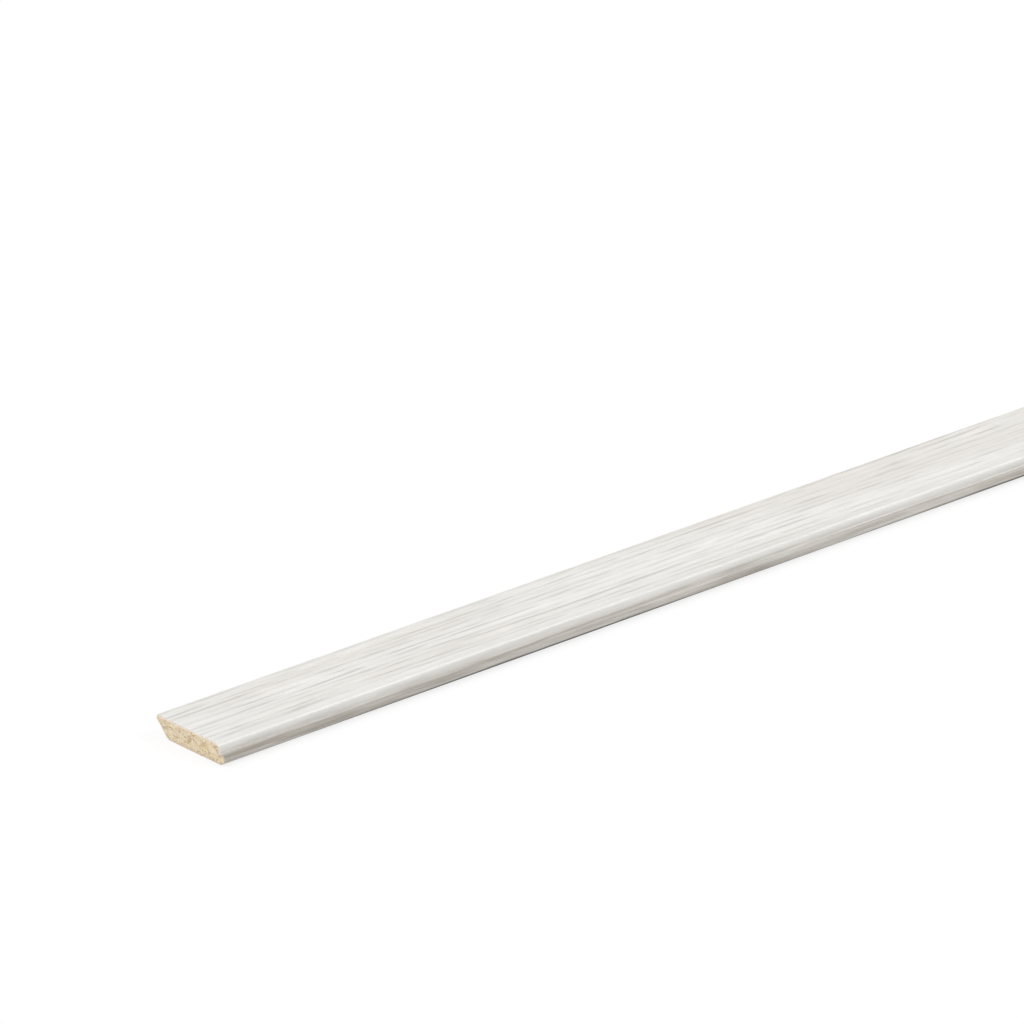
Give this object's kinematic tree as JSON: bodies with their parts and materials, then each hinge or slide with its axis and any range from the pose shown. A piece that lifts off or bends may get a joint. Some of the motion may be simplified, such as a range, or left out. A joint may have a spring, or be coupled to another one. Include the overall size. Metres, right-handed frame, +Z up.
{
  "type": "self-adhesive skirting board",
  "caption": "Long flat skirting strip, chipboard wrapped in pale wood-decor foil, with a rounded nose over a projecting lip, an undercut floor edge and adhesive tape on its back.",
  "frame": {"origin": "on the level that the strip lies on, under the middle of its length and width", "axes": "+X along the strip, +Y from the nose edge to the floor edge, +Z up from the back to the face"},
  "size_m": [2.4, 0.024, 0.0052],
  "materials": {
    "chipboard": "sawn chipboard with darker chips",
    "decor_foil": "satin decor foil with a whitewashed oak grain",
    "adhesive_tape": "cloudy adhesive film",
    "release_liner": "smooth siliconised paper"
  },
  "bodies": {
    "root": {"chipboard_core": "chipboard", "decor_foil": "decor_foil", "adhesive_tape": "adhesive_tape", "release_liner": "release_liner"}
  },
  "joints": []
}
